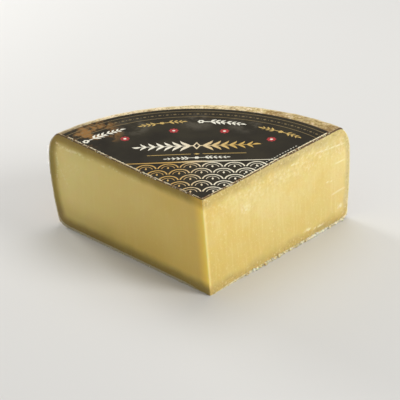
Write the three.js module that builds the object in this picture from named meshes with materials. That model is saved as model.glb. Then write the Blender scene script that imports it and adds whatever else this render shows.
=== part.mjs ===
// A quarter of a round alpine hard cheese, lying flat as it is sold.
// It is one wedge of paste with its rind, a paper label on its top and a small paper tag on its heel.
// Millimetres, +Z up. The wedge is built round the wheel's own axis, with its point towards -Y,
// and is then moved so that the origin is at the bottom centre of its bounding box.
import * as THREE from "three";
import { mergeVertices } from "three/addons/utils/BufferGeometryUtils.js";

// Driving sizes of the wheel
const WHEEL_RADIUS = 150;
const HEIGHT = 75;
const HALF_ANGLE = THREE.MathUtils.degToRad(45.4);

// The heel's section, as radii: it is fullest above mid-height and turns in at the rim and the foot
const RIM_RADIUS = 0.936 * WHEEL_RADIUS;
const FOOT_RADIUS = 0.972 * WHEEL_RADIUS;
const FULLEST_AT = 0.57;
const SHOULDER_POWER = 3.9;
const FOOT_LIFT = 2.5;
const FOOT_ROUND = 11;
const RIM_DROP = 0.9;
const RIM_ROUND = 3.5;

// The top rises a little from the middle of the wheel to its rim
const TOP_DISH = 0.5;

// The underside is slightly uneven towards the heel: the wedge stands on its point,
// on both ends of its foot and on the foot's middle
const FOOT_WAVE = 0.5;
const FOOT_WAVE_FROM = 95;
const FOOT_WAVE_TO = 125;

// What makes one side of the hand-made wheel differ from the other: the left is a little fuller and lower
const RIM_LEFT = 2.0;
const FULLEST_LEFT = 2.2;
const FOOT_LEFT = -0.8;
const TOP_LEFT = -0.75;

// The knife's work: the front edge leans, and the cut faces are slightly hollow
const FRONT_LEAN = new THREE.Vector2(4.1, -0.2);
const CUT_HOLLOW = 0.7;

// Slow waves that the hand-made rind has, on the top and on the heel. Each has a height and a start,
// and turns by so many radians per millimetre or per unit along and across.
const TOP_WAVES = [
  { height: 0.3, along: 1 / 23, across: 2.1, start: 0 },
  { height: 0.3, along: 1 / 41, across: -3.3, start: 1 },
];
const HEEL_WAVES = [
  { height: 0.45, along: 5.1, across: 1.7, start: 0 },
  { height: 0.3, along: 9.7, across: -4.3, start: 2 },
];
const TOP_WAVE_FADE = 40;

// The round label was glued on a little off centre and cut with the cheese
const LABEL_CENTRE = new THREE.Vector2(-7.3, 4.2);
const LABEL_RADIUS = 128.5;
const LABEL_INSET = 0.5;
const PAPER = 0.3;
const GLUE_GAP = 0.3;

// The tag on the heel ends at the left cut, where the paper has lifted
const TAG_LOW = 46.5;
const TAG_HIGH = 61.5;
const TAG_LENGTH = 46;
const TAG_INSET = 0.4;
const TAG_LIFT = 1.5;
const TAG_LIFT_LENGTH = 16;

// How finely each piece is divided
const WEDGE_STEPS = { out: 14, round: 40, up: 14 };
const LABEL_STEPS = { out: 10, round: 30 };
const TAG_STEPS = { along: 14, up: 6 };

// Where the wheel's axis stands in the part's frame
const AXIS_AT = new THREE.Vector3(2.0, -75.1, 0);

// side runs from -1 at the right cut to 1 at the left cut
const directionOf = (side) => Math.PI / 2 + side * HALF_ANGLE;

function waveHeight(waves, along, across) {
  const heights = waves.map((w) => w.height * Math.sin(w.along * along + w.across * across + w.start));
  return heights.reduce((sum, height) => sum + height, 0);
}

// The heel's radius at a level from 0 at the foot to 1 at the rim
function heelRadius(level, side) {
  const rim = RIM_RADIUS + RIM_LEFT * side;
  const fullest = WHEEL_RADIUS + FULLEST_LEFT * side;
  const foot = FOOT_RADIUS + FOOT_LEFT * side;
  const wave = waveHeight(HEEL_WAVES, side, level) * Math.sin(Math.PI * level);
  if (level < FULLEST_AT) {
    const down = (FULLEST_AT - level) / FULLEST_AT;
    return fullest - (fullest - foot) * down ** 2 + wave;
  }
  const up = (level - FULLEST_AT) / (1 - FULLEST_AT);
  return fullest - (fullest - rim) * up ** SHOULDER_POWER + wave;
}

function bottomHeight(radius, side) {
  const start = heelRadius(0, side) - FOOT_ROUND;
  const fullness = THREE.MathUtils.smoothstep(radius, FOOT_WAVE_FROM, FOOT_WAVE_TO);
  const wave = FOOT_WAVE * Math.sin(Math.PI * side) ** 2 * fullness;
  return FOOT_LIFT * Math.max(0, (radius - start) / FOOT_ROUND) ** 2 + wave;
}

function topHeight(radius, side) {
  const rim = heelRadius(1, side);
  const past = Math.max(0, (radius - (rim - RIM_ROUND)) / RIM_ROUND);
  const tilt = TOP_LEFT * side * (radius / rim);
  const dish = TOP_DISH * (radius / rim) ** 2;
  const wave = waveHeight(TOP_WAVES, radius, side) * THREE.MathUtils.smoothstep(radius, 0, TOP_WAVE_FADE);
  return HEIGHT + tilt + dish + wave - RIM_DROP * past ** 2;
}

// A point of the wedge: out is 0 at the wheel's axis and 1 at the heel,
// level is 0 at the bottom and 1 at the top
function wedgePoint(out, side, level) {
  const radius = out * heelRadius(level, side);
  const low = bottomHeight(out * heelRadius(0, side), side);
  const high = topHeight(out * heelRadius(1, side), side);
  const z = low + (high - low) * level;
  const angle = directionOf(side);
  const lean = (1 - out) * (1 - level);
  const point = new THREE.Vector3(
    radius * Math.cos(angle) + FRONT_LEAN.x * lean,
    radius * Math.sin(angle) + FRONT_LEAN.y * lean,
    z,
  );
  if (Math.abs(side) === 1) {
    const hollow = CUT_HOLLOW * Math.sin(Math.PI * out) * Math.sin(Math.PI * level);
    const inward = angle - side * (Math.PI / 2);
    point.x += hollow * Math.cos(inward);
    point.y += hollow * Math.sin(inward);
  }
  return point;
}

// A closed shape made by moving each vertex of a segmented unit box. Faces that fold to a line are dropped.
function bentBox(steps, place) {
  const box = new THREE.BoxGeometry(1, 1, 1, ...steps);
  box.deleteAttribute("normal");
  box.deleteAttribute("uv");
  const at = box.getAttribute("position");
  for (let i = 0; i < at.count; i += 1) {
    const p = place(at.getX(i) + 0.5, at.getY(i) * 2, at.getZ(i) + 0.5);
    at.setXYZ(i, p.x, p.y, p.z);
  }
  const merged = mergeVertices(box, 1e-3);
  const kept = [];
  const corners = merged.index.array;
  for (let i = 0; i < corners.length; i += 3) {
    const [a, b, c] = corners.slice(i, i + 3);
    if (a !== b && b !== c && c !== a) kept.push(a, b, c);
  }
  merged.setIndex(kept);
  merged.computeVertexNormals();
  return merged;
}

function material(color, roughness) {
  return new THREE.MeshStandardMaterial({ color, roughness, metalness: 0 });
}

function namedMesh(name, geometry, look) {
  const mesh = new THREE.Mesh(geometry, look);
  mesh.name = name;
  return mesh;
}

// The wedge of cheese, divided more finely towards the heel, the rim and the foot
function cheese() {
  const { out, round, up } = WEDGE_STEPS;
  const towardsHeel = (x) => 1 - (1 - x) ** 1.7;
  const towardsEnds = (x) => 0.5 - 0.5 * Math.cos(Math.PI * x);
  const geometry = bentBox([out, round, up], (x, side, z) =>
    wedgePoint(towardsHeel(x), side, towardsEnds(z)),
  );
  return namedMesh("cheese", geometry, material(0xe3c983, 0.55));
}

// A sector of the round label, cut off just inside the two cut faces
function topLabel() {
  const { out, round } = LABEL_STEPS;
  const tip = new THREE.Vector2(0, LABEL_INSET / Math.sin(HALF_ANGLE));
  const fromCentre = tip.clone().sub(LABEL_CENTRE);
  const geometry = bentBox([out, round, 1], (x, side, layer) => {
    const angle = directionOf(side);
    const ray = new THREE.Vector2(Math.cos(angle), Math.sin(angle));
    const along = ray.dot(fromCentre);
    const reach = -along + Math.sqrt(along ** 2 + LABEL_RADIUS ** 2 - fromCentre.lengthSq());
    const p = tip.clone().addScaledVector(ray, x * reach);
    const bearing = (Math.atan2(p.y, p.x) - Math.PI / 2) / HALF_ANGLE;
    const z = topHeight(p.length(), bearing) + GLUE_GAP + PAPER * layer;
    return new THREE.Vector3(p.x, p.y, z);
  });
  return namedMesh("top_label", geometry, material(0x3f3932, 0.5));
}

// The tag follows the heel, and stands off it at the end that the knife cut
function heelTag() {
  const { along, up } = TAG_STEPS;
  const start = HALF_ANGLE - TAG_INSET / WHEEL_RADIUS;
  const geometry = bentBox([along, 1, up], (x, layer, z) => {
    const run = (1 - x) * TAG_LENGTH;
    const side = (start - run / WHEEL_RADIUS) / HALF_ANGLE;
    const height = TAG_LOW + (TAG_HIGH - TAG_LOW) * z;
    const level = (height - FOOT_LIFT) / (topHeight(heelRadius(1, side), side) - FOOT_LIFT);
    const lift = TAG_LIFT * Math.max(0, 1 - run / TAG_LIFT_LENGTH) ** 2;
    const radius = heelRadius(level, side) + GLUE_GAP + lift + (PAPER * (1 - layer)) / 2;
    const angle = directionOf(side);
    return new THREE.Vector3(radius * Math.cos(angle), radius * Math.sin(angle), height);
  });
  return namedMesh("heel_tag", geometry, material(0xefece2, 0.7));
}

const quarter = new THREE.Group();
quarter.add(cheese(), topLabel(), heelTag());
quarter.position.copy(AXIS_AT);

const part = new THREE.Group();
part.add(quarter);

export default part;
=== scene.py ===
"""Looks of a quarter wheel of alpine hard cheese: paste, rind, printed paper label, heel tag and crumbs.

Metres, +Z up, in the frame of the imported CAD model. The wedge is worked out round the wheel's own axis,
with its point towards -Y, from the same driving sizes as the solids, and then moved to AXIS_AT.
Side runs from -1 at the right cut to 1 at the left cut, level from 0 at the foot to 1 at the rim.
Fine relief, materials and print are written in millimetres.
"""

import math

import bpy
import numpy as np
from mathutils import Matrix, Quaternion, Vector, noise
from mathutils.geometry import delaunay_2d_cdt


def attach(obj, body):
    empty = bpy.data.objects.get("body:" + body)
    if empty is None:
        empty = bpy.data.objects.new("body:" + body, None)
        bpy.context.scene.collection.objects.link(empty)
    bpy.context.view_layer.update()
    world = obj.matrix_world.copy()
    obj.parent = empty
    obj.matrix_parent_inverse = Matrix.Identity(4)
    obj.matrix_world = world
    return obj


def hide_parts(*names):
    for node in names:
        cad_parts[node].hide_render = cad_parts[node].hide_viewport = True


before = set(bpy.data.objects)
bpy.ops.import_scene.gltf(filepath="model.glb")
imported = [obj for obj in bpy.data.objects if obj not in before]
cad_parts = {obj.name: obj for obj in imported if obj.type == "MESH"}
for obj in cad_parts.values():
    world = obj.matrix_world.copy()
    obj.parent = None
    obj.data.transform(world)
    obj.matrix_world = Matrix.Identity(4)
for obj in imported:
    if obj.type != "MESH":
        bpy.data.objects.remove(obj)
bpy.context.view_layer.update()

MM = 0.001
rng = np.random.default_rng(7)

# Driving sizes of the wheel, as in the solids
WHEEL_RADIUS = 150 * MM
HEIGHT = 75 * MM
HALF_ANGLE = math.radians(45.4)
RIM_RADIUS = 0.936 * WHEEL_RADIUS
FOOT_RADIUS = 0.972 * WHEEL_RADIUS
FULLEST_AT = 0.57
SHOULDER_POWER = 3.9
FOOT_LIFT = 2.5 * MM
FOOT_ROUND = 11 * MM
FOOT_WAVE = 0.5 * MM
FOOT_WAVE_FROM = 95 * MM
FOOT_WAVE_TO = 125 * MM
RIM_DROP = 0.9 * MM
RIM_ROUND = 3.5 * MM
TOP_DISH = 0.5 * MM
# By how much each is more at the left cut than in the middle, and less at the right cut
RIM_LEFT = 2.0 * MM
FULLEST_LEFT = 2.2 * MM
FOOT_LEFT = -0.8 * MM
TOP_LEFT = -0.75 * MM
# How far the front edge's foot stands off the axis, and how hollow the cuts are
FRONT_LEAN = (4.1 * MM, -0.2 * MM)
CUT_HOLLOW = 0.7 * MM
AXIS_AT = Vector((2.0 * MM, -75.1 * MM, 0))

# Slow waves of the rind: height, how fast each turns along and across, and where it starts
TOP_WAVES = [(0.3 * MM, 1 / (23 * MM), 2.1, 0), (0.3 * MM, 1 / (41 * MM), -3.3, 1)]
HEEL_WAVES = [(0.45 * MM, 5.1, 1.7, 0), (0.3 * MM, 9.7, -4.3, 2)]
TOP_WAVE_FADE = 40 * MM

# The label and the tag, as in the solids. The paper here lies on the rind itself.
LABEL_CENTRE = np.array((-7.3 * MM, 4.2 * MM))
LABEL_RADIUS = 128.5 * MM
LABEL_INSET = 0.5 * MM
LABEL_LIFT = 0.16 * MM
LABEL_PAPER = 0.2 * MM
TAG_LOW = 46.5 * MM
TAG_HIGH = 61.5 * MM
TAG_LENGTH = 46 * MM
TAG_INSET = 0.4 * MM
TAG_LIFT = 1.5 * MM
TAG_LIFT_LENGTH = 16 * MM
TAG_PAPER = 0.25 * MM
TAG_GLUE = 0.3 * MM

# The knife leaves the front edge softly rounded
FRONT_ROUND = 1.3 * MM


def smooth(x):
    x = np.clip(x, 0, 1)
    return x * x * (3 - 2 * x)


def waves(terms, along, across):
    return sum(h * np.sin(a * along + c * across + s) for h, a, c, s in terms)


def heel_radius(level, side):
    """The heel's distance from the wheel's axis."""
    rim = RIM_RADIUS + RIM_LEFT * side
    fullest = WHEEL_RADIUS + FULLEST_LEFT * side
    foot = FOOT_RADIUS + FOOT_LEFT * side
    down = np.clip((FULLEST_AT - level) / FULLEST_AT, 0, 1)
    up = np.clip((level - FULLEST_AT) / (1 - FULLEST_AT), 0, 1)
    wave = waves(HEEL_WAVES, side, level) * np.sin(math.pi * level)
    return fullest - (fullest - foot) * down**2 - (fullest - rim) * up**SHOULDER_POWER + wave


def bottom_height(radius, side):
    past = np.clip((radius - heel_radius(0, side)) / FOOT_ROUND + 1, 0, None)
    wave = FOOT_WAVE * np.sin(math.pi * np.asarray(side)) ** 2
    fullness = smooth((radius - FOOT_WAVE_FROM) / (FOOT_WAVE_TO - FOOT_WAVE_FROM))
    return FOOT_LIFT * past**2 + wave * fullness


def top_height(radius, side):
    rim = heel_radius(1, side)
    past = np.clip((radius - rim) / RIM_ROUND + 1, 0, None)
    tilt = TOP_LEFT * side * radius / rim
    dish = TOP_DISH * (radius / rim) ** 2
    wave = waves(TOP_WAVES, radius, side) * smooth(radius / TOP_WAVE_FADE)
    return HEIGHT + tilt + dish + wave - RIM_DROP * past**2


def along_cut(side):
    """Unit vector from the wheel's axis outwards, in the plan."""
    angle = math.pi / 2 + np.asarray(side) * HALF_ANGLE
    return np.stack([np.cos(angle), np.sin(angle)], -1)


def wedge_points(out, side, level):
    """Points of the smooth wedge, and how deep each lies under the top, the foot and the heel."""
    out, side, level = np.broadcast_arrays(*[np.asarray(v, float) for v in (out, side, level)])
    radius = out * heel_radius(level, side)
    low = bottom_height(out * heel_radius(0, side), side)
    high = top_height(out * heel_radius(1, side), side)
    z = low + (high - low) * level
    lean = ((1 - out) * (1 - level))[..., None] * np.array(FRONT_LEAN)
    plan = radius[..., None] * along_cut(side) + lean

    cut = np.abs(side) == 1
    ray, other = along_cut(side), along_cut(-side)
    hollow = CUT_HOLLOW * np.sin(math.pi * out) * np.sin(math.pi * level)
    turn = (math.pi / 4) * (1 - np.clip(radius / FRONT_ROUND, 0, 1))[..., None]
    rounded = (ray + other) - other * np.cos(turn) - ray * np.sin(turn)
    in_round = (radius < FRONT_ROUND)[..., None]
    moved = np.where(in_round, rounded * FRONT_ROUND - ray * radius[..., None], 0)
    plan = plan + np.where(cut[..., None], moved - hollow[..., None] * cut_normal(side), 0)
    depths = (high - z, z - low, heel_radius(level, side) - radius)
    return np.concatenate([plan, z[..., None]], -1), depths


def cut_normal(side):
    """Outward normal of a cut face, in the plan."""
    ray = along_cut(side)
    return np.stack([ray[..., 1], -ray[..., 0]], -1) * -np.sign(np.asarray(side, float))[..., None]


def spaced(length, fine, coarse, band):
    """Fractions from 0 to 1 along a length: finely spaced in a band at each end, coarsely between."""
    ends = np.linspace(0, band, max(2, round(band / fine) + 1))
    middle = np.linspace(band, length - band, round((length - 2 * band) / coarse) + 1)
    return np.concatenate([ends, middle[1:-1], length - ends[::-1]]) / length


def lumps(points, size, octaves=2, stretch=(1, 1, 1), shift=0.0):
    """Smooth noise of about -1 to 1 at each point. Size is that of its lumps, in the points' own unit."""
    at = points / (size * np.array(stretch)) + shift
    return np.array([noise.fractal(p, 1.0, 2.0, octaves) for p in at.tolist()])


def placed(name, data, place=(0, 0, 0), facing=None, roll=0.0):
    """A new object in the scene. A camera or light looks along facing, turned about it by a roll."""
    made = bpy.data.objects.new(name, data)
    bpy.context.scene.collection.objects.link(made)
    made.location = place
    if facing:
        made.rotation_mode = "QUATERNION"
        made.rotation_quaternion = facing.to_track_quat("-Z", "Y") @ Quaternion((0, 0, 1), roll)
    return made


def piece(name, points, faces, looks, materials, slot, node=None, facts=None):
    """The finished object, placed in the part's frame, riding on the part's body."""
    mesh = bpy.data.meshes.new(name)
    mesh.from_pydata((np.array(points) + AXIS_AT).tolist(), [], faces)
    for material in materials:
        mesh.materials.append(material)
    mesh.polygons.foreach_set("material_index", np.array(looks, np.int32))
    mesh.shade_smooth()
    for key, values in (facts or {}).items():
        carried = mesh.attributes.new(key, "FLOAT", "POINT").data
        carried.foreach_set("value", np.asarray(values, np.float32))
    crease_between_looks(mesh)
    mesh.update()
    made = placed(name, mesh)
    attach(made, "root")
    if node:
        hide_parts(node)


def crease_between_looks(mesh):
    """Marks as sharp every edge where two looks meet, so that shading doesn't run round the corner."""
    looks_at = {}
    for face in mesh.polygons:
        for key in face.edge_keys:
            looks_at.setdefault(key, set()).add(face.material_index)
    sharp = [len(looks_at[tuple(sorted(edge.vertices))]) > 1 for edge in mesh.edges]
    mesh.attributes.new("sharp_edge", "BOOLEAN", "EDGE").data.foreach_set("value", sharp)


def fill(outline, inner):
    """Triangles of a flat region, as indices into its outline's points and those inside it."""
    points = [Vector(p) for p in (*outline, *inner)]
    loop = list(range(len(outline)))
    _, _, faces, origins, *_ = delaunay_2d_cdt(points, [], [loop], 1, 1e-9)
    return [[origins[i][0] for i in face] for face in faces]


# The wedge itself: one closed skin, paste on the two cuts and rind elsewhere
PASTE, RIND = 0, 1


def wedge():
    """Places of its points, as (fraction outwards, side, level), its faces, and the look of each."""
    outs = spaced(WHEEL_RADIUS, 0.33 * MM, 0.8 * MM, 4 * MM)
    levels = spaced(HEIGHT, 0.35 * MM, 0.8 * MM, 3.5 * MM)
    sides = spaced(2 * HALF_ANGLE * WHEEL_RADIUS, 0.5 * MM, 1.2 * MM, 3 * MM) * 2 - 1
    last_out, last_side, last_level = len(outs) - 1, len(sides) - 1, len(levels) - 1
    corners = {}

    def corner(i, j, k):
        return corners.setdefault((i, j if i else 0, k), len(corners))

    faces, looks = [], []

    def panel(look, columns, at):
        for a in range(columns):
            for b in range(last_level):
                steps = ((a, b), (a + 1, b), (a + 1, b + 1), (a, b + 1))
                faces.append([corner(*at(*step)) for step in steps])
                looks.append(look)

    panel(PASTE, last_out, lambda i, k: (i, 0, k))
    panel(PASTE, last_out, lambda i, k: (i, last_side, last_level - k))
    panel(RIND, last_side, lambda j, k: (last_out, j, k))
    edge = [(i, 0) for i in range(last_out)] + [(last_out, j) for j in range(last_side)]
    edge += [(i, last_side) for i in range(last_out, 0, -1)]
    rims = [[corner(i, j, k) for i, j in edge] for k in (0, last_level)]
    places = np.array([(outs[i], sides[j], levels[k]) for i, j, k in corners])
    # Points on the front edge belong to the right cut
    places[places[:, 0] == 0, 1] = -1

    for level, rim in enumerate(rims):
        inner = lid_points(level)
        outline = wedge_points(*places[rim].T)[0][:, :2]
        inside = wedge_points(*inner.T)[0][:, :2]
        index = rim + list(range(len(places), len(places) + len(inner)))
        places = np.concatenate([places, inner])
        for face in fill(outline, inside):
            face = [index[i] for i in face]
            faces.append(face if level else face[::-1])
            looks.append(RIND)
    return places, faces, looks


def lid_points(level):
    """Where the top or the underside has points inside its outline: fine by the cuts and the rim."""
    places = []
    rim = float(heel_radius(level, 0))
    bare_from = rim - (26 if level else 14) * MM
    radius = 3 * MM
    while radius < rim - 0.8 * MM:
        step = 3 * MM if radius < bare_from else 1.25 * MM
        free = 1 - 3.2 * MM / (radius * HALF_ANGLE)
        if free > 0:
            count = max(1, round(2 * free * radius * HALF_ANGLE / step))
            places += [(radius / rim, s, level) for s in np.linspace(-free, free, count + 1)]
        radius += step
    for offset in (0.55 * MM, 1.2 * MM, 2.1 * MM):
        for radius in np.arange(max(3 * MM, 2.5 * offset), rim - 1.2 * MM, 0.85 * MM):
            side = 1 - offset / (radius * HALF_ANGLE)
            places += [(radius / rim, -side, level), (radius / rim, side, level)]
    return np.array(places)


# Marks on the right cut: both ends, as (distance from the axis, height), width, and how far they stand out
KNIFE_MARKS = [
    ((112.5, 65.9), (146.5, 61.9), 0.45, 0.14),
    ((132.5, 49.6), (145.6, 48.8), 0.4, 0.12),
    ((129.5, 25.8), (145.6, 26.2), 0.42, 0.12),
    ((124.0, 37.8), (131.0, 36.9), 0.3, 0.05),
    ((88.0, 66.0), (97.0, 65.2), 0.35, 0.06),
]
# Where the left cut is torn along the firmer part under the rind, in the same way
TEARS = [
    ((145.0, 67.6), (138.6, 65.2), 0.7, 0.2),
    ((140.5, 65.4), (115.0, 66.2), 1.1, 0.16),
    ((142.6, 60.5), (140.2, 48.5), 0.8, 0.12),
    ((139.8, 49.0), (131.5, 34.0), 0.9, 0.08),
]
# Soft crumbly lumps on the right cut: centre, half length, half height, and how far they stand out
SMEARS = [
    ((139.3, 13.1), 3.8, 2.1, 0.5),
    ((104.0, 8.3), 4.5, 1.4, 0.8),
    ((117.0, 6.4), 9.0, 0.8, 0.4),
    ((41.0, 51.5), 6.0, 4.6, 0.08),
    ((118.1, 61.0), 1.6, 0.9, 0.2),
    ((101.0, 63.2), 2.4, 0.8, 0.15),
    ((106.0, 57.0), 2.0, 3.4, 0.08),
]
# A tan patch at the foot of the right cut: centre, half length and half height
TAN_PATCH = ((120.5, 3.2), 13.0, 2.6)


class Skin:
    """Every point of the wedge's skin, in millimetres: where it lies, and on which face."""

    def __init__(self, points, places, depths):
        out, self.side, self.level = places.T
        self.points = points / MM
        self.height = self.points[:, 2]
        self.along = out * WHEEL_RADIUS / MM
        self.under_top, self.over_foot, self.in_heel = [depth / MM for depth in depths]
        self.right, self.left = self.side == -1, self.side == 1
        self.cut = self.right | self.left
        self.on_top = self.level == 1
        self.rind = self.on_top | (self.level == 0) | (out == 1)
        self.from_cut = (1 - np.abs(self.side)) * HALF_ANGLE * self.along
        self.from_label = np.linalg.norm(self.points[:, :2] - LABEL_CENTRE / MM, axis=1) - LABEL_RADIUS / MM
        self.torn = self.lumps(1.3, 3, shift=12.0)
        self.crumbly = smooth(1 - self.over_foot / 6) * smooth((self.along - 25) / 30)
        self.depth = self.felt_depth()

    def lumps(self, size, octaves=2, stretch=(1, 1, 1), shift=0.0):
        return lumps(self.points, size, octaves, stretch, shift)

    def felt_depth(self):
        """Depth under the nearest rind, without a corner where two rinds meet, and weighted by side."""
        soft = 1.3
        # The side weights widen the dark band under the rind on the shaded left cut and narrow it by the
        # heel of the lit right cut; in the colours this is partly painted shade and light
        top = 1 - 0.13 * smooth((self.along - 85) / 40) * self.left
        foot = np.where(self.left, 0.82, 1)
        heel = np.where(self.left, 0.98, 1.5)
        felt = (self.under_top * top, self.over_foot * foot, self.in_heel * heel)
        return -soft * np.log(sum(np.exp(-np.clip(depth, 0, 30) / soft) for depth in felt))

    def off(self, centre, half_length, half_height):
        """Distance on a cut from an oval's centre: 1 on the oval itself."""
        return np.hypot((self.along - centre[0]) / half_length, (self.height - centre[1]) / half_height)

    def stroke(self, start, end, width):
        """1 on the line from start to end, fading over its width, and with the line's ends tapered."""
        (u, z), (du, dz) = start, np.subtract(end, start)
        t = ((self.along - u) * du + (self.height - z) * dz) / (du * du + dz * dz)
        away = np.hypot(self.along - u - t * du, self.height - z - t * dz)
        return np.exp(-((away / width) ** 2)) * smooth(6 * t) * smooth(6 * (1 - t))


def cut_relief(skin):
    """The paste: faint knife streaks, grain and a crumbly foot on the right, nearly smooth on the left."""
    grain = skin.lumps(1.1)
    cloud = skin.lumps(9, 3, shift=4.0)
    streak = skin.lumps(2.0, stretch=(1, 1, 22), shift=8.0)
    broad = skin.lumps(5.0, stretch=(1, 1, 14), shift=2.0)
    crumbs_held = skin.crumbly * 0.9 * np.maximum(0, skin.lumps(1.9, 3, shift=6.0))
    rough = 0.05 * grain + 0.09 * cloud + 0.02 * streak + 0.05 * broad + crumbs_held
    calm = 0.012 * grain + 0.05 * cloud
    return np.where(skin.right, rough, calm)


# What the knife did to the cuts. Each yields how far points stand out, and how scuffed and pale they are.
def knife_marks(skin):
    for start, end, width, height in KNIFE_MARKS:
        mark = skin.stroke(start, end, width) * skin.right * smooth(0.85 + 0.9 * skin.torn)
        yield height * mark, mark


def tears(skin):
    for start, end, width, height in TEARS:
        mark = skin.stroke(start, end, width) * skin.left * smooth(0.7 + 1.6 * skin.torn)
        yield height * mark, mark * min(0.9, 5 * height)


def smears(skin):
    for *oval, height in SMEARS:
        mark = smooth(1.25 - skin.off(*oval)) * smooth(0.6 + 1.6 * skin.torn) * skin.right
        yield height * mark, min(0.75, 0.3 + 2.5 * height) * mark


def torn_specks(skin):
    """On the left cut: a seam along the firmer part under the rind, and more strewn at the heel."""
    wander = 8.4 + 1.6 * skin.lumps(12, shift=31.0)
    seam = np.exp(-(((skin.depth - wander) / 0.9) ** 2)) * smooth((skin.along - 30) / 80)
    strewn = 0.3 * smooth((skin.along - 106) / 24) * smooth(skin.depth / 8 - 0.5)
    patchy = smooth(0.6 + 1.3 * skin.lumps(7, shift=33.0)) * smooth((skin.height - 24) / 26)
    specks = np.maximum(seam, strewn) * patchy * smooth(2.6 * (skin.torn + 0.05)) * skin.left
    yield 0.14 * specks, 0.7 * specks


def ragged_edge(skin):
    """How much the knife broke away where a cut meets the rind."""
    nibble = np.abs(skin.lumps(2.6, 3, shift=15.0))
    chips = smooth(3 * skin.lumps(3.4, shift=17.0) - 0.2)
    bite = 0.12 + 0.45 * nibble + 1.3 * chips * skin.crumbly * skin.right
    from_heel = np.where(skin.right, skin.in_heel, np.inf)
    from_edge = np.minimum(np.minimum(skin.under_top, skin.over_foot), from_heel)
    return bite * np.exp(-from_edge / 0.55)


def rind_relief(skin):
    """Pits and dents of the rind, pressed flat under the label apart from a strip along the cuts."""
    pits = skin.lumps(1.7, 3, shift=20.0)
    dents = skin.lumps(7, shift=24.0)
    bare = np.where(skin.on_top, smooth(skin.from_label / 2.5 + 0.6), 1)
    beside_cut = skin.on_top * smooth(1.3 - skin.from_cut / 0.9)
    bare = np.maximum(bare, 0.6 * beside_cut)
    return (0.13 * pits + 0.24 * dents) * (0.12 + 0.88 * bare)


def relief(points, places, depths, normals):
    """Fine shape of the skin. Returns how each point moves, and what the materials need to know of it."""
    skin = Skin(points, places, depths)
    rise, scuff = cut_relief(skin), np.zeros(len(points))
    for traces in (knife_marks, tears, smears, torn_specks):
        for height, paler in traces(skin):
            rise = rise + height
            scuff = np.maximum(scuff, paler)
    outward = np.column_stack([cut_normal(skin.side), np.zeros(len(points))])
    shift = outward * ((rise - ragged_edge(skin)) * skin.cut)[:, None]
    shift += normals * (rind_relief(skin) * skin.rind)[:, None]
    shift[:, 2] = np.maximum(shift[:, 2], -skin.height)
    facts = {
        "rind_depth": np.where(skin.cut, np.maximum(skin.depth, 0), 0),
        "under_top": np.maximum(skin.under_top, 0),
        "from_front": skin.along,
        "left_cut": skin.left,
        "on_top": skin.on_top,
        "scuff": np.clip(scuff, 0, 1),
        "from_cut": skin.from_cut,
        "from_label": skin.from_label,
        "to_rim": skin.in_heel,
        "tan": smooth(1.4 - skin.off(*TAN_PATCH)) * skin.right,
    }
    return shift * MM, facts


def vertex_normals(points, faces):
    normals = np.zeros_like(points)
    for size in (3, 4):
        index = np.array([face for face in faces if len(face) == size])
        at = points[index]
        across = np.cross(at[:, 2] - at[:, 0], at[:, -1] - at[:, 1])
        for column in range(size):
            np.add.at(normals, index[:, column], across)
    return normals / np.linalg.norm(normals, axis=1, keepdims=True)


# Looks
def linear(colour):
    """A colour as pictures show it, from 0 to 255, as shaders take it. Sockets stay as they are."""
    if isinstance(colour, bpy.types.NodeSocket):
        return colour
    values = np.array(colour) / 255
    straight = np.where(values <= 0.04045, values / 12.92, ((values + 0.055) / 1.055) ** 2.4)
    return (*straight.tolist(), 1.0)


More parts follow.
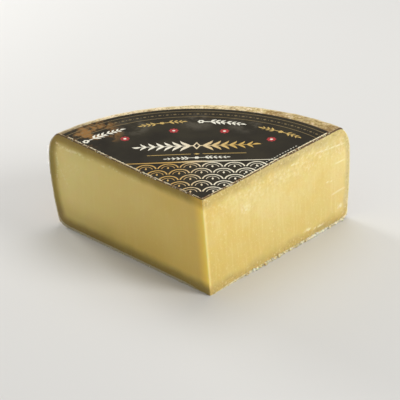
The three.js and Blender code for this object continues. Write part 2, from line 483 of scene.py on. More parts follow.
class Look:
    """A material made by short calls. It keeps one colour and one set of bumps, and calls add to both.

    Sizes and rises are in millimetres, colours as a picture shows them, and places in the part's frame.
    """

    def __init__(self, name, roughness, specular=0.5):
        self.material = bpy.data.materials.new(name)
        self.material.use_nodes = True
        self.tree = self.material.node_tree
        self.shader = self.tree.nodes["Principled BSDF"].inputs
        self.place = self.node("TexCoord", "Object")
        self.colour = self.bumps = None
        self.shader["Roughness"].default_value = roughness
        self.shader["Specular IOR Level"].default_value = specular

    def node(self, kind, output, inputs=None, **settings):
        """A node's output, with its inputs set to values or joined to other nodes."""
        made = self.tree.nodes.new("ShaderNode" + kind)
        for key, value in settings.items():
            setattr(made, key, value)
        for socket, value in (inputs or {}).items():
            self.join(value, made.inputs[socket])
        return made.outputs[output]

    def join(self, value, socket):
        if isinstance(value, bpy.types.NodeSocket):
            self.tree.links.new(value, socket)
        else:
            socket.default_value = value

    def fact(self, name):
        """A value that the mesh carries at its points."""
        return self.node("Attribute", "Fac", attribute_name=name)

    def axis(self, letter):
        """The place along X, Y or Z, in metres."""
        return self.node("SeparateXYZ", letter, {0: self.place})

    def near(self, spot, far, close):
        """1 within close of a spot of the top, given as X and Y, and 0 beyond far."""
        spot = (spot[0] * MM, spot[1] * MM, HEIGHT)
        away = self.node("VectorMath", "Value", {0: self.place, 1: spot}, operation="DISTANCE")
        return self.span(away, far * MM, close * MM)

    def lumps(self, size, detail=2.0, stretch=(1, 1, 1), roughness=0.5, shift=0.0):
        """Soft noise from 0 to 1 with lumps of that size."""
        turn = {"Vector": self.place, "Scale": [1 / s for s in stretch], "Location": [shift] * 3}
        given = {"Scale": 0.5 / (size * MM), "Detail": detail, "Roughness": roughness}
        return self.node("TexNoise", "Fac", {"Vector": self.node("Mapping", "Vector", turn), **given})

    def span(self, value, start, end, low=0.0, high=1.0):
        """Value from start to end, brought smoothly to low to high."""
        given = {"Value": value, "From Min": start, "From Max": end, "To Min": low, "To Max": high}
        return self.node("MapRange", "Result", given, interpolation_type="SMOOTHSTEP")

    def sum(self, a, b, times=1.0):
        """a + b * times."""
        return self.node("Math", "Value", {0: b, 1: times, 2: a}, operation="MULTIPLY_ADD")

    def product(self, first, *others):
        for other in others:
            first = self.node("Math", "Value", {0: first, 1: other}, operation="MULTIPLY")
        return first

    def blend(self, a, b, *factors, how="MIX"):
        """Colour a turning to colour b as the product of the factors goes from 0 to 1."""
        given = {0: self.product(*factors), 6: linear(a), 7: linear(b)}
        return self.node("Mix", 2, given, data_type="RGBA", blend_type=how)

    def tint(self, colour, *factors, how="MIX"):
        """Turns the look's own colour to another in the same way."""
        self.colour = self.blend(self.colour, colour, *factors, how=how)

    def bump(self, height, rise):
        """Adds bumps of that rise, by a height from 0 to 1."""
        under = {"Normal": self.bumps} if self.bumps else {}
        self.bumps = self.node("Bump", "Normal", {"Distance": rise * MM, "Height": height, **under})

    def wax(self, weight, depth, *radius):
        """Lets light in under the surface: how much of it, how deep, and for red, green and blue."""
        for name, value in (("Weight", weight), ("Scale", depth * MM), ("Radius", radius)):
            self.join(value, self.shader["Subsurface " + name])

    def finish(self, roughness=None):
        self.join(linear(self.colour), self.shader["Base Color"])
        if roughness:
            self.join(roughness, self.shader["Roughness"])
        if self.bumps:
            self.join(self.bumps, self.shader["Normal"])
        return self.material


class CutLook(Look):
    """The look of both cuts, with places told by millimetres under the top and from the front edge."""

    def by_side(self, right, left):
        return self.span(self.left, 0, 1, right, left)

    def down(self, *how):
        return self.span(self.under_top, *how)

    def along(self, *how):
        return self.span(self.from_front, *how)


def paste_base(look):
    """Paler towards the top and the heel, deeper towards the front edge and the foot. The deepening towards
    the foot is painted shade.
    """
    cloud = look.sum(look.lumps(13, 3, shift=1.0), -0.5)
    drift = look.sum(look.product(cloud, look.by_side(1.0, 0.35)), look.along(75, 0), 0.3)
    look.colour = look.blend((243, 221, 153), (236, 204, 116), look.span(drift, -0.2, 0.4))
    # Painted shade: the paste deepens towards the foot on both cuts, on the left by this much
    left_foot_shade = look.along(15, 55, 0.42, 0.75)
    look.tint((222, 191, 102), look.down(18, 70), look.by_side(0.62, left_foot_shade))
    look.tint(look.blend((251, 255, 254), (247, 245, 217), look.left), 1.0, how="MULTIPLY")
    look.tint((251, 236, 158), look.along(60, 135), look.left, 0.5)
    look.tint((232, 208, 134), look.along(118, 134), look.down(44, 56), look.by_side(0.6, 0.0))
    look.tint((214, 198, 128), look.along(116, 132), look.down(22, 9), look.by_side(0.5, 0.0))


def paste_grain(look, streak, grain, show):
    """Pale and dark streaks and grain, and a mottle in the upper part of the right cut."""
    faint = look.product(show, 0.4)
    look.tint((228, 196, 114), look.span(streak, 0.5, 0.72), faint)
    look.tint((247, 232, 172), look.span(streak, 0.5, 0.3), faint)
    look.tint((250, 238, 188), look.span(grain, 0.55, 0.75), show)
    look.tint((220, 188, 108), look.span(grain, 0.45, 0.25), show)
    mottle = look.lumps(1.3, 3, shift=29.0)
    upper_right = look.product(look.down(32, 10), look.by_side(0.4, 0.0), look.along(10, 70, 0.5, 1.0))
    look.tint((253, 243, 203), look.span(mottle, 0.52, 0.66), upper_right)
    look.tint((216, 194, 122), look.span(mottle, 0.48, 0.34), upper_right)


def painted_front_edge_light(look):
    """Painted light at the front edge: a painted warm glow on the left where light comes through, and a
    thin painted highlight line, stronger on the right.
    """
    look.tint((255, 222, 92), look.along(10, 0.5), look.left)
    look.tint((255, 231, 156), look.along(3, 0.8), look.by_side(0.8, 0.2))


def right_zone(look):
    """Amber near the front edge and at the foot, paler towards the heel and halfway up. The deeper amber at
    the foot is partly real and partly painted shade.
    """
    upper = look.blend((206, 181, 102), (209, 186, 118), look.along(18, 62))
    upper = look.blend(upper, (211, 190, 126), look.along(76, 100))
    upper = look.blend(upper, (214, 196, 126), look.along(122, 134))
    zone = look.blend(upper, (214, 196, 134), look.down(8, 18))
    # Deeper at the foot: partly real, partly painted shade
    return look.blend(zone, (208, 180, 104), look.down(62, 70))


def left_zone(look, depth):
    """Olive brown close under the rind, paler deeper in, and greyer at the foot. Its darkness against the
    right cut's zone is partly real browning under the rind and partly painted shade of the shaded left cut,
    and so is the grey at the foot.
    """
    deeper = look.span(depth, 1.5, 7)
    shallow = look.blend((152, 125, 42), (154, 135, 50), look.down(8, 18))
    upper = look.blend(shallow, (180, 153, 56), deeper)
    foot = look.blend((154, 131, 62), (172, 149, 74), deeper)
    return look.blend(upper, foot, look.down(50, 66))


def firm_zone(look):
    """The firm zone under the rind, and what shades into it. On the left it is browner and darker, partly
    real and partly painted shade of the shaded left cut.
    """
    wander = look.sum(look.lumps(6, 3, shift=7.0), -0.5)
    depth = look.sum(look.rind_depth, wander, look.by_side(9.0, 3.0))
    # The left cut takes a darker copy of the zone, partly painted shade
    zone = look.blend(right_zone(look), left_zone(look, depth), look.left)
    # Painted glow of light coming through the thin wedge near the front edge, warmer on the left
    lit_through = look.blend((216, 189, 112), (224, 182, 62), look.left)
    zone = look.blend(zone, lit_through, look.along(look.by_side(30, 16), 1), look.down(30, 12), 0.8)
    speck = look.lumps(0.9, 2, shift=13.0)
    busy = look.product(look.span(depth, 10, 3), look.by_side(0.5, 0.05))
    zone = look.blend(zone, (244, 232, 188), look.span(speck, 0.56, 0.68), busy)
    zone = look.blend(zone, (160, 134, 80), look.span(speck, 0.42, 0.3), busy)

    shoulder = look.product(look.span(depth, 17, 7), look.along(60, 110), look.left, 0.45)
    look.tint((236, 238, 222), shoulder, how="MULTIPLY")
    olive = look.span(look.lumps(8, 3, shift=23.0), 0.5, 0.66)
    look.tint((212, 194, 110), olive, look.span(depth, 15, 6), look.by_side(0.5, 0.0))
    look.tint(zone, look.span(depth, look.by_side(10.5, 10.0), 4))
    # Painted shade at the foot of the left cut, towards the heel
    painted_foot_shade_left = look.product(look.down(47, 65), look.along(70, 98), look.left, 0.5)
    look.tint((224, 216, 196), painted_foot_shade_left, how="MULTIPLY")
    look.tint((198, 175, 108), look.fact("tan"))


def crust(look):
    """The thin crust itself: brown under the top, and a dry skin elsewhere, greyer and darker on the left
    with painted shade.
    """
    ragged = look.sum(look.rind_depth, look.sum(look.lumps(1.4, 3), -0.5), 0.9)
    under_paper = look.along(80, 92, 1.0, look.by_side(1.65, 1.1))
    above_foot = look.down(3, 6, under_paper, 1.5)
    reach = look.down(66, 72, above_foot, look.along(3, 26, 0.8, 2.1))
    # The left cut's skin is darker: painted shade of the shaded left cut
    skin = look.blend((238, 227, 188), (182, 172, 138), look.left)
    under_label = look.blend((96, 70, 36), (100, 76, 38), look.left)
    skin = look.blend(skin, under_label, look.down(3, 1.5))
    look.tint(skin, look.span(look.sum(ragged, reach, -1.0), 0, -0.6))
    gaps = look.span(look.lumps(2.0, 3, shift=19.0), 0.5, 0.4)
    look.tint((150, 122, 74), gaps, look.down(71.5, 73.5), look.by_side(0.4, 0.0))
    look.tint(look.blend((255, 246, 208), (252, 238, 180), look.left), look.fact("scuff"))


def paste_look():
    """Cut cheese: dense, waxy and translucent, darker and browner towards the rind."""
    look = CutLook("cut_paste", 0.5)
    look.left, look.rind_depth = look.fact("left_cut"), look.fact("rind_depth")
    look.under_top, look.from_front = look.fact("under_top"), look.fact("from_front")
    show = look.by_side(0.45, 0.13)
    streak = look.lumps(0.9, 3, stretch=(1, 1, 14), shift=3.0)
    grain = look.lumps(0.7, 3, roughness=0.65)
    paste_base(look)
    paste_grain(look, streak, grain, show)
    painted_front_edge_light(look)
    firm_zone(look)
    crust(look)
    look.wax(look.span(look.rind_depth, 1, 7, 0.15, 0.85), 6, 1.0, 0.55, 0.18)
    look.bump(look.lumps(6, 3), 0.2)
    look.bump(look.product(grain, show), 0.2)
    look.bump(look.product(streak, show), 0.06)
    return look.finish(look.span(grain, 0.3, 0.7, 0.42, 0.6))


def rind_base(look):
    """Brown and tan, brighter near and on the top, with brown smears."""
    upward = look.span(look.fact("under_top"), 20, 0.5)
    brown = look.blend((150, 116, 70), (184, 157, 94), upward)
    tan = look.blend((188, 160, 112), (206, 184, 120), upward)
    broad = look.lumps(16, 4, shift=2.0)
    look.colour = look.blend(brown, tan, look.span(broad, 0.35, 0.65))
    look.tint((234, 217, 172), look.creamy, 0.8)
    smeared = look.span(look.creamy, 0, 1, 0.6, 0.25)
    look.tint((146, 108, 62), look.span(look.smear, 0.52, 0.68), smeared)


def rind_spots(look):
    """Patches of brown and of pinkish cream on the top, and grit, pits and bloom all over."""
    patch = look.lumps(2.2, 4, roughness=0.6, shift=27.0)
    patched = look.span(look.creamy, 0, 1, 0.8, 0.4)
    look.tint((152, 122, 60), look.span(patch, 0.5, 0.4), look.on_top, patched)
    look.tint((240, 218, 182), look.span(patch, 0.56, 0.64), look.on_top, 0.9)
    shown = look.span(look.on_top, 0, 1, 0.38, 0.7)
    look.tint((124, 92, 54), look.span(look.grit, 0.52, 0.36), shown)
    look.tint((238, 223, 186), look.span(look.grit, 0.56, 0.68), shown)
    pit = look.lumps(2.6, 3, shift=5.0)
    look.tint((104, 72, 40), look.span(pit, 0.66, 0.76), look.span(look.on_top, 0, 1, 0.8, 0.4))
    look.tint((232, 218, 184), look.span(look.bloom, 0.56, 0.72), 0.55)


def painted_top_shading(look):
    """Light and shade painted on the top: duller to the right, brown beside the label there, darker to the
    left, paler at the rim.
    """
    # Painted shade that dulls the top towards the right
    dull = look.span(look.across, 45 * MM, 80 * MM)
    look.tint((216, 208, 194), dull, look.on_top, 0.7, how="MULTIPLY")
    beyond = look.sum(look.fact("from_label"), look.sum(look.bloom, -0.5), 2.5)
    to_right = look.span(look.across, 50 * MM, 75 * MM, 0.2, 0.8)
    look.tint((132, 104, 66), look.span(beyond, 2.0, 0.8), to_right, look.on_top)
    # Painted shade that darkens the top's left end
    left_end_shade = look.span(look.across, -58 * MM, -95 * MM)
    look.tint((150, 138, 115), left_end_shade, look.on_top, 0.95, how="MULTIPLY")
    # Painted light along the rim: paler there
    look.tint((226, 211, 168), look.span(look.fact("to_rim"), 3.2, 1.4), look.on_top, 0.5)


def rind_edge(look):
    """Broken and pale beside the cuts, with dark gaps on the top."""
    broken = look.sum(look.fact("from_cut"), look.lumps(1.3, 3, shift=9.0), 1.4)
    edge = look.span(broken, 1.9, 1.2)
    look.tint(look.blend((226, 210, 168), (178, 152, 108), look.on_top), edge)
    gap = look.span(look.lumps(2.2, 2, shift=11.0), 0.44, 0.38)
    look.tint((96, 70, 40), edge, gap, look.on_top)


def rind_look():
    """Dry brushed rind: tan with brown smears, fine grit and cream bloom, creamier on the top."""
    look = Look("rind", 0.8)
    look.wax(0.05, 2, 1.0, 0.5, 0.25)
    look.on_top, look.across = look.fact("on_top"), look.axis("X")
    look.creamy = look.product(look.span(look.across, 55 * MM, 15 * MM), look.on_top)
    look.smear = look.lumps(7, 4, stretch=(2, 2, 0.8), shift=6.0)
    look.grit = look.lumps(1.0, 4, roughness=0.7)
    look.bloom = look.lumps(4, 4, roughness=0.6, shift=14.0)
    rind_base(look)
    rind_spots(look)
    painted_top_shading(look)
    rind_edge(look)
    look.bump(look.smear, 0.8)
    look.bump(look.grit, 0.35)
    return look.finish(look.span(look.grit, 0.3, 0.7, 0.9, 0.7))


def cheese():
    places, faces, looks = wedge()
    points, depths = wedge_points(*places.T)
    shift, facts = relief(points, places, depths, vertex_normals(points, faces))
    materials = [paste_look(), rind_look()]
    piece("cheese_wedge", points + shift, faces, looks, materials, "cheese", "cheese", facts)


# Print on the label. Shapes are flat outlines in the label's plane, in millimetres from the wheel's axis.
PAPER, DIM_GOLD, GOLD, CREAM, RED, FRIEZE, SCALLOP, FIBRE = range(8)


def turned(points, angle):
    c, s = math.cos(angle), math.sin(angle)
    return np.asarray(points) @ np.array([[c, s], [-s, c]])


def on_label(radius, bearing):
    """A point by its distance from the label's centre in mm, and its bearing from straight back."""
    b = math.radians(bearing)
    return LABEL_CENTRE / MM + radius * np.array([math.sin(b), math.cos(b)])


def round_spot(centre, radius, petals=0, corners=20):
    """A disc, or a rosette if it has petals."""
    angles = np.linspace(0, 2 * math.pi, corners, endpoint=False)
    reach = radius * (1 - 0.24 * (1 - np.abs(np.cos(petals * angles / 2))))[:, None]
    return np.asarray(centre) + reach * np.stack([np.cos(angles), np.sin(angles)], -1)


def lozenge(centre, length, width, heading):
    corners = np.array([(length / 2, 0), (0, width / 2), (-length / 2, 0), (0, -width / 2)])
    return np.asarray(centre) + turned(corners, heading)


def leaf(base, heading, length, width, bent=0.12):
    """A pointed leaf, widest before its middle and a little bent."""
    t = np.linspace(0, 1, 9)
    half = width / 2 * np.sin(math.pi * t**0.8)
    bend = bent * length * np.sin(math.pi * t)
    upper = np.stack([t * length, bend + half], -1)
    lower = np.stack([t * length, bend - half], -1)
    return np.asarray(base) + turned(np.concatenate([lower, upper[-2:0:-1]]), heading)


def ribbon(points, widths):
    """A stroke along a line of points."""
    points = np.asarray(points)
    ahead = np.gradient(points, axis=0)
    ahead /= np.linalg.norm(ahead, axis=1, keepdims=True)
    normal = np.stack([-ahead[:, 1], ahead[:, 0]], -1)
    half = np.asarray(widths)[:, None] / 2
    return np.concatenate([points + normal * half, (points - normal * half)[::-1]])


def walk(start, heading, length, bend, steps=24):
    """Points and headings of a line that starts at a point and turns steadily, by bend in all."""
    headings = heading + bend * np.linspace(0, 1, steps + 1)
    strides = np.stack([np.cos(headings), np.sin(headings)], -1) * length / steps
    moves = np.concatenate([[(0, 0)], (strides[1:] + strides[:-1]) / 2])
    return np.asarray(start) + np.cumsum(moves, axis=0), headings


def branch(ink, start, heading, length, bend, leaf_size, gap, stroke, bare, spread=0.75):
    """A stem with leaves on both sides, from a bare start, and one at its end."""
    points, headings = walk(start, heading, length, bend)
    yield ink, ribbon(points, stroke * (1.15 - 0.6 * np.linspace(0, 1, len(points))))
    count = max(1, int(length * (1 - bare) / gap))
    for n in range(1, count + 1):
        t = bare + (1 - bare) * n / (count + 0.6)
        i = round(t * (len(points) - 1))
        size = leaf_size * (1.1 - 0.45 * t)
        for way in (-1, 1):
            yield ink, leaf(points[i], headings[i] + way * spread, size, 0.36 * size)
    yield ink, leaf(points[-1], headings[-1], leaf_size * 0.9, 0.32 * leaf_size)


def ring(radius, width):
    """A thin ring round the label's centre, as far as the wedge reaches and a little more."""
    points = [on_label(radius, bearing) for bearing in np.linspace(-62, 62, 140)]
    return ribbon(points, np.full(len(points), width))


def border():
    """Two rings with a row of lozenges and dots between them."""
    for radius in (124.7, 115.9):
        yield DIM_GOLD, ring(radius, 0.55)
    step = 2.6
    for n in range(-24, 25):
        bearing = n * step
        heading = -math.radians(bearing)
        yield DIM_GOLD, lozenge(on_label(120.3, bearing), 2.9, 1.5, heading)
        yield DIM_GOLD, round_spot(on_label(120.3, bearing + step / 2), 0.42, corners=8)


# Distance of the garland from the label's centre, in mm
GARLAND = 108.5


def by_rim(bearing, along):
    """A point of the garland and the heading there, so many mm along it from a bearing."""
    bearing += math.degrees(along / GARLAND)
    return on_label(GARLAND, bearing), -math.radians(bearing)


def garland():
    """Cream flourishes and gold sprigs by turns, with red rosettes under them."""
    for bearing in (-33.5, 12.5):
        start, heading = by_rim(bearing, -16)
        yield from branch(CREAM, start, heading, 28, -28 / GARLAND, 5.4, 3.6, 0.8, bare=0.12)
        yield CREAM, round_spot(start, 2.5, petals=6, corners=36)
        yield PAPER, round_spot(start, 0.9)
    for bearing in (-10.5, 35.5):
        centre, heading = by_rim(bearing, 0)
        for way, facing in ((1, heading), (-1, heading + math.pi)):
            yield from branch(GOLD, centre, facing, 14, -way * 14 / GARLAND, 4.5, 3.4, 0.7, bare=0.15)
        yield GOLD, round_spot(centre, 1.9, petals=5)
    for bearing in (-28.5, -7, 14.5, 36):
        yield RED, round_spot(on_label(95.5, bearing), 3.4, petals=8, corners=48)
        yield CREAM, round_spot(on_label(95.5, bearing), 1.1)


def frieze():
    """A bold laurel across the middle: leaves in pairs, smaller towards its ends, over two small sprigs."""
    middle = np.array([-3.0, 75.0])
    for way, heading in ((1, 0.0), (-1, math.pi)):
        yield FRIEZE, ribbon([middle, middle + (way * 41, 0)], [1.1, 0.5])
        for n in range(6):
            base = middle + (way * (4.0 + 6.1 * n), 0)
            size = 10.8 - 0.85 * n
            for side in (-1, 1):
                yield FRIEZE, leaf(base, heading + 0.8 * side, size, 0.26 * size, -0.1 * side)
        yield FRIEZE, leaf(middle + (way * 38.5, 0), heading, 6.4, 2.2)
        yield GOLD, ribbon([middle + (way * 4, -12.4), middle + (way * 34, -12.4)], [0.6, 0.6])
        yield from branch(CREAM, middle + (0, -18.0), heading, 20, 0, 3.6, 3.2, 0.6, bare=0.12)
    yield FRIEZE, lozenge(middle, 5.6, 11.0, 0)
    yield PAPER, lozenge(middle, 3.2, 6.6, 0)
    yield GOLD, lozenge(middle + (0, -12.4), 4.4, 2.2, 0)
    yield CREAM, round_spot(middle + (0, -18.0), 1.8, petals=6, corners=36)


def scallops():
    """Rows of scallops in the point of the wedge, each with a smaller one and a leaf in it."""
    pitch, rise = 15.0, 8.4
    arc = np.linspace(0.05, 0.95, 15) * math.pi
    bow = np.stack([np.cos(arc), np.sin(arc)], -1)
    for row in range(5):
        for n in range(row + 2):
            centre = np.array([pitch * (n - (row + 1) / 2), 9 + rise * row])
            yield SCALLOP, ribbon(centre + 6.9 * bow, np.full(len(arc), 1.0))
            yield SCALLOP, ribbon(centre + 4.4 * bow, np.full(len(arc), 0.5))
            yield SCALLOP, leaf(centre, math.pi / 2, 3.0, 1.4, 0)
    yield SCALLOP, ribbon([(-52, 51.8), (52, 51.8)], [0.8, 0.8])


def edge_row():
    """A row of fine lozenges along the right cut."""
    ray, inward = along_cut(-1), -cut_normal(-1)
    for n in range(20):
        place = ray * (44 + 2.7 * n) + inward * 3.6
        yield CREAM, lozenge(place, 2.0, 0.8, math.atan2(ray[1], ray[0]))


def frayed_edges():
    """White fibres of the paper along its two cuts, thinner near the point."""
    tip = np.array([0, LABEL_INSET / MM / math.sin(HALF_ANGLE)])
    steps = np.arange(0, 132, 1.3)
    for side, width in ((-1, 1.3), (1, 1.2)):
        widths = width * (1 + 0.6 * np.sin(1.9 * steps) * np.sin(0.31 * steps))
        widths = widths * (0.4 + 0.6 * smooth((steps - 12) / 30))
        yield FIBRE, ribbon(tip + along_cut(side) * steps[:, None], widths)


def label_outline():
    """The label's sector: a tip just inside the two cuts, and an arc round the label's own centre."""
    tip = np.array([0, LABEL_INSET / math.sin(HALF_ANGLE)])
    from_centre = tip - LABEL_CENTRE
    ray = along_cut(np.linspace(-1, 1, 110))
    along = ray @ from_centre
    reach = np.sqrt(along**2 + LABEL_RADIUS**2 - from_centre @ from_centre) - along
    arc = tip + ray * reach[:, None]
    right = np.linspace(tip, arc[0], 90, endpoint=False)
    left = np.linspace(arc[-1], tip, 90, endpoint=False)
    return np.concatenate([right, arc[:-1], left])


def surface_at(plan):
    """Height of the wheel's smooth top over points of the plan."""
    side = (np.arctan2(plan[:, 1], plan[:, 0]) - math.pi / 2) / HALF_ANGLE
    return top_height(np.linalg.norm(plan, axis=1), side)


def covers(outline, points):
    """Which of the points lie inside a closed outline."""
    low, high = outline.min(axis=0), outline.max(axis=0)
    near = np.flatnonzero(np.all((points > low) & (points < high), axis=1))
    x, y = points[near, 0, None], points[near, 1, None]
    (ax, ay), (bx, by) = outline.T, np.roll(outline, -1, axis=0).T
    beyond = (bx - ax) * (y - ay) - (x - ax) * (by - ay)
    upward = (ay <= y) & (by > y) & (beyond > 0)
    downward = (ay > y) & (by <= y) & (beyond < 0)
    return near[upward.sum(1) != downward.sum(1)]


def printed_sheet():
    """The label's outline cut into faces along the print: plan points, triangles and the look of each."""
    outline = label_outline() / MM
    groups = (border(), garland(), frieze(), scallops(), edge_row(), frayed_edges())
    shapes = [shape for group in groups for shape in group]
    points, lines = [], []
    for shape in [outline] + [shape for _, shape in shapes]:
        start, count = len(points), len(shape)
        points.extend(Vector(p) for p in shape)
        lines.extend((start + i, start + (i + 1) % count) for i in range(count))
    grid = np.stack(np.meshgrid(np.arange(-100, 100, 5.0), np.arange(2, 135, 5.0)), -1).reshape(-1, 2)
    points.extend(Vector(p) for p in grid[covers(outline, grid)])
    plan, _, faces, *_ = delaunay_2d_cdt(points, lines, [], 0, 1e-5)
    plan, faces = np.array([tuple(p) for p in plan]), np.array(faces)
    centres = plan[faces].mean(axis=1)
    looks = np.full(len(faces), -1)
    looks[covers(outline, centres)] = PAPER
    for ink, shape in shapes:
        looks[[i for i in covers(np.asarray(shape), centres) if looks[i] >= 0]] = ink
    kept = looks >= 0
    used, faces = np.unique(faces[kept], return_inverse=True)
    return plan[used] * MM, faces.reshape(-1, 3).tolist(), looks[kept].tolist()


def sheet(high, low, faces, looks, wall_look):
    """A closed thin sheet: faces on top, the same turned over below, and a wall round both."""
    back = len(high)
    edges = dict.fromkeys((a, b) for face in faces for a, b in zip(face, (*face[1:], face[0])))
    wall = [(b, a, a + back, b + back) for a, b in edges if (b, a) not in edges]
    below = [[i + back for i in reversed(face)] for face in faces]
    return np.concatenate([high, low]), faces + below + wall, looks + [wall_look] * len(below + wall)


# On the top, in the part's frame and in millimetres: a copper patch in the paper, and three pale smudges
COPPER_AT = (-72, 23)
SMUDGES_AT = [(-45, 31), (0, 37), (34, 31)]


def paper_look():
    """Dark satin paper, mottled like slate, with a cloudy copper patch by its left end."""
    look = Look("dark_paper", 0.5, specular=0.08)
    mottle = look.lumps(9, 5, roughness=0.6)
    look.colour = look.blend((37, 32, 22), (52, 47, 34), look.span(mottle, 0.3, 0.7))
    cloud = look.lumps(6, 5, roughness=0.65, shift=3.0)
    look.tint((160, 116, 62), look.near(COPPER_AT, 24, 10), look.span(cloud, 0.46, 0.6), 0.8)
    for spot in SMUDGES_AT:
        look.tint((104, 98, 84), look.near(spot, 17, 6), look.span(cloud, 0.4, 0.6), 0.45)
    look.bump(look.lumps(16, 2), 0.5)
    look.bump(look.lumps(0.6, 2), 0.03)
    return look.finish(look.span(mottle, 0.3, 0.7, 0.42, 0.56))


def ink_look(name, first, second=None, across=(0, 1)):
    """Matt ink on the paper, a little worn. With a second colour it turns from one to the other along X."""
    look = Look(name, 0.45, specular=0.25)
    wear = look.lumps(2.2, 4, roughness=0.65)
    look.colour = first
    if second:
        look.tint(second, look.span(look.axis("X"), *across))
    look.tint((70, 62, 48), look.span(wear, 0.56, 0.72), 0.5)
    look.bump(look.lumps(16, 2), 0.5)
    return look.finish(look.span(wear, 0.3, 0.7, 0.4, 0.52))


def fibre_look():
    """The white core of the paper, which shows where it is cut. It is more soiled towards the point."""
    look = Look("paper_core", 0.85)
    look.colour = look.blend((236, 219, 174), (255, 247, 216), look.span(look.lumps(0.5, 3), 0.3, 0.7))
    by_point = look.span(look.axis("Y"), -20 * MM, -60 * MM)
    soil = look.sum(look.lumps(2.0, 2, shift=11.0), by_point, -0.09)
    look.tint((132, 100, 66), look.span(soil, 0.43, 0.37))
    return look.finish()


def label():
    plan, faces, looks = printed_sheet()
    flat = np.column_stack([plan, np.zeros(len(plan))])
    wrinkle = 0.05 * MM * lumps(flat, 11 * MM, 3, shift=30.0)
    low = surface_at(plan) + LABEL_LIFT + wrinkle
    inks = [
        paper_look(),
        ink_look("dim_gold_ink", (128, 108, 66)),
        ink_look("gold_ink", (198, 166, 92)),
        ink_look("cream_ink", (236, 232, 214)),
        ink_look("red_ink", (170, 38, 40)),
        ink_look("frieze_ink", (240, 234, 214), (206, 168, 84), (-30 * MM, 30 * MM)),
        ink_look("scallop_ink", (204, 164, 86), (240, 232, 206), (-18 * MM, 16 * MM)),
        fibre_look(),
    ]
    high, low = [np.column_stack([plan, height]) for height in (low + LABEL_PAPER, low)]
    piece("printed_label", *sheet(high, low, faces, looks, FIBRE), inks, "top_label", "top_label")


def tag_look():
    """White paper that lets light through, with a faint stain."""
    look = Look("tag_paper", 0.7, specular=0.3)
    look.wax(1.0, 2, 1.0, 1.0, 1.0)
    fibres = look.lumps(0.7, 4)
    look.colour = look.blend((244, 240, 226), (251, 249, 242), look.span(fibres, 0.3, 0.7))
    stain = look.lumps(7, 4, shift=2.0)
    look.tint((214, 200, 164), look.span(stain, 0.55, 0.8), 0.5)
    look.bump(fibres, 0.05)
    return look.finish()


def tag():
    """A small blank paper tag on the heel. The end that the knife cut has lifted."""
    runs, heights = np.linspace(0, TAG_LENGTH, 56), np.linspace(TAG_LOW, TAG_HIGH, 22)
    run, height = np.meshgrid(runs, heights, indexing="ij")
    side = 1 - (TAG_INSET + run) / (WHEEL_RADIUS * HALF_ANGLE)
    level = (height - FOOT_LIFT) / (top_height(heel_radius(1, side), side) - FOOT_LIFT)
    lift = TAG_LIFT * np.clip(1 - run / TAG_LIFT_LENGTH, 0, 1) ** 2
    inside = heel_radius(level, side) + TAG_GLUE + lift
    high, low = [
        np.dstack([radius[..., None] * along_cut(side), height]).reshape(-1, 3)
        for radius in (inside + TAG_PAPER, inside)
    ]
    at = np.arange(run.size).reshape(run.shape)
    faces = np.dstack([at[:-1, :-1], at[:-1, 1:], at[1:, 1:], at[1:, :-1]]).reshape(-1, 4).tolist()
    piece("heel_paper", *sheet(high, low, faces, [0] * len(faces), 0), [tag_look()], "heel_tag", "heel_tag")


# Crumbs that the knife left along the edges: how many rings of points each has, and points on a ring
CRUMB_RINGS, CRUMB_ROUND = 4, 8


def crumb_frame():
    """Points of a ball, from its top ring by ring to its bottom, and its faces."""
    tilts = math.pi * np.arange(1, CRUMB_RINGS + 1) / (CRUMB_RINGS + 1)
    turns = 2 * math.pi * np.arange(CRUMB_ROUND) / CRUMB_ROUND
    tilt, turn = np.meshgrid(tilts, turns, indexing="ij")
    rings = np.dstack([np.sin(tilt) * np.cos(turn), np.sin(tilt) * np.sin(turn), np.cos(tilt)])
    points = np.concatenate([[(0, 0, 1)], rings.reshape(-1, 3), [(0, 0, -1)]])
    starts = range(1, len(points) - 1, CRUMB_ROUND)
    faces = []
    for n in range(CRUMB_ROUND):
        after = (n + 1) % CRUMB_ROUND
        faces.append((0, 1 + n, 1 + after))
        faces += [(a + n, b + n, b + after, a + after) for a, b in zip(starts, starts[1:])]
        faces.append((starts[-1] + n, len(points) - 1, starts[-1] + after))
    return points, faces


def crumb(ball, centre, size):
    """Points of a small uneven lump that doesn't reach below the floor."""
    turn = Matrix.Rotation(rng.uniform(0, 6.3), 3, Vector(rng.normal(size=3)).normalized())
    stretch = np.array([1, rng.uniform(0.6, 1), rng.uniform(0.45, 0.8)]) * size / 2
    swell = 1 + 0.25 * rng.uniform(-1, 1, (len(ball), 1))
    points = centre + ball * stretch * swell @ np.array(turn).T
    points[:, 2] = np.maximum(points[:, 2], 0)
    return points


def crumb_look():
    """Crumbs of paste and rind, from tan to pale."""
    look = Look("crumbs", 0.6)
    look.wax(0.5, 2, 1.0, 0.6, 0.25)
    look.colour = look.blend((224, 200, 142), (255, 246, 214), look.span(look.lumps(1.8, 3), 0.35, 0.6))
    look.bump(look.lumps(0.5, 2), 0.1)
    return look.finish()


FOOT, TOP = 0.0, 1.0
# Side, level of the edge, how many, then in mm: from and to along the cut, least and greatest size, reach
CRUMB_ROWS = [
    (-1, FOOT, 150, 36, 146, 0.6, 1.8, 1.4),
    (-1, FOOT, 70, 36, 144, 1.6, 3.4, 1.6),
    (-1, FOOT, 24, 4, 40, 0.4, 0.8, 0.9),
    (1, FOOT, 34, 6, 144, 0.4, 0.8, 0.7),
    (-1, TOP, 70, 6, 136, 0.35, 0.8, 0.5),
    (1, TOP, 60, 6, 138, 0.35, 0.7, 0.4),
]


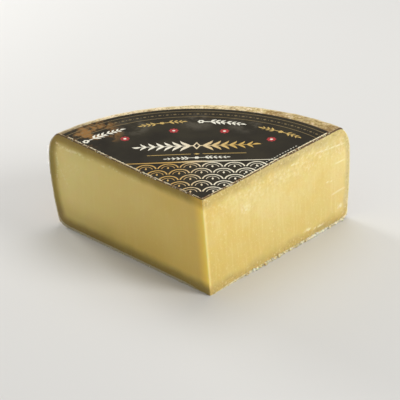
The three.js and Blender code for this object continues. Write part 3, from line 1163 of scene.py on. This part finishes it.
def crumbs():
    ball, ball_faces = crumb_frame()
    points, faces = [], []
    for side, edge, count, *lengths in CRUMB_ROWS:
        start, end, small, large, reach = [length * MM for length in lengths]
        for along in rng.uniform(start, end, count):
            away = abs(rng.normal(0, reach / 2)) / HEIGHT
            level = edge + (away if edge == FOOT else -away)
            (point,), _ = wedge_points([along / WHEEL_RADIUS], [side], [level])
            size = rng.uniform(small, large)
            point[:2] += cut_normal(side) * size * 0.12
            point[2] = max(point[2], 0.45 * size)
            faces += [[len(points) + i for i in face] for face in ball_faces]
            points.extend(crumb(ball, point, size))
    piece("crumbs", points, faces, [0] * len(faces), [crumb_look()], "cheese")


cheese()
label()
tag()
crumbs()


# The photograph's camera, as fitted to the wedge's outline in the 400-pixel frame
def camera():
    azimuth, elevation, roll = [math.radians(v) for v in (0.304, 29.267, -1.447)]
    distance = 1283.6 * MM
    target = AXIS_AT + Vector((-1.6, 66.4, 37.4)) * MM
    focal_pixels, frame_pixels, sensor = 1845.4, 400, 36.0
    back = Vector((
        math.sin(azimuth) * math.cos(elevation),
        -math.cos(azimuth) * math.cos(elevation),
        math.sin(elevation),
    ))
    data = bpy.data.cameras.new("camera")
    data.sensor_width = sensor
    data.lens = focal_pixels / frame_pixels * sensor
    bpy.context.scene.camera = placed("camera", data, target + back * distance, -back, roll)


# Lights: name, place, size across and power. All of them aim at one point.
LIGHTS = [
    ("key", (0.95, -0.45, 0.7), 0.5, 7.8),
    ("top", (0.1, 0.6, 1.1), 0.8, 4),
    ("rim", (-0.8, 0.9, 0.35), 0.4, 10),
]
LIGHTS_AIM = Vector((0, 0, 0.04))
SURROUND_COLOUR, SURROUND_STRENGTH = (1.0, 0.99, 0.97, 1), 0.44
FLOOR_HALF = 3.0


def area_light(name, place, size, power):
    data = bpy.data.lights.new(name, "AREA")
    data.shape, data.size, data.energy = "DISK", size, power
    placed(name, data, place, LIGHTS_AIM - Vector(place))


def studio():
    """A pale floor, soft lights from the right, above and behind on the left, and a pale surround."""
    data = bpy.data.meshes.new("floor")
    corners = [(x * FLOOR_HALF, y * FLOOR_HALF, 0) for x, y in ((-1, -1), (1, -1), (1, 1), (-1, 1))]
    data.from_pydata(corners, [], [(0, 1, 2, 3)])
    placed("floor", data)
    look = Look("floor", 0.75)
    look.colour = look.blend((214, 213, 210), (220, 219, 216), look.lumps(300, 2))
    data.materials.append(look.finish())

    for light in LIGHTS:
        area_light(*light)
    world = bpy.data.worlds.new("surround")
    world.use_nodes = True
    background = world.node_tree.nodes["Background"]
    background.inputs["Color"].default_value = SURROUND_COLOUR
    background.inputs["Strength"].default_value = SURROUND_STRENGTH
    bpy.context.scene.world = world
    bpy.context.scene.view_settings.view_transform = "Standard"


camera()
studio()
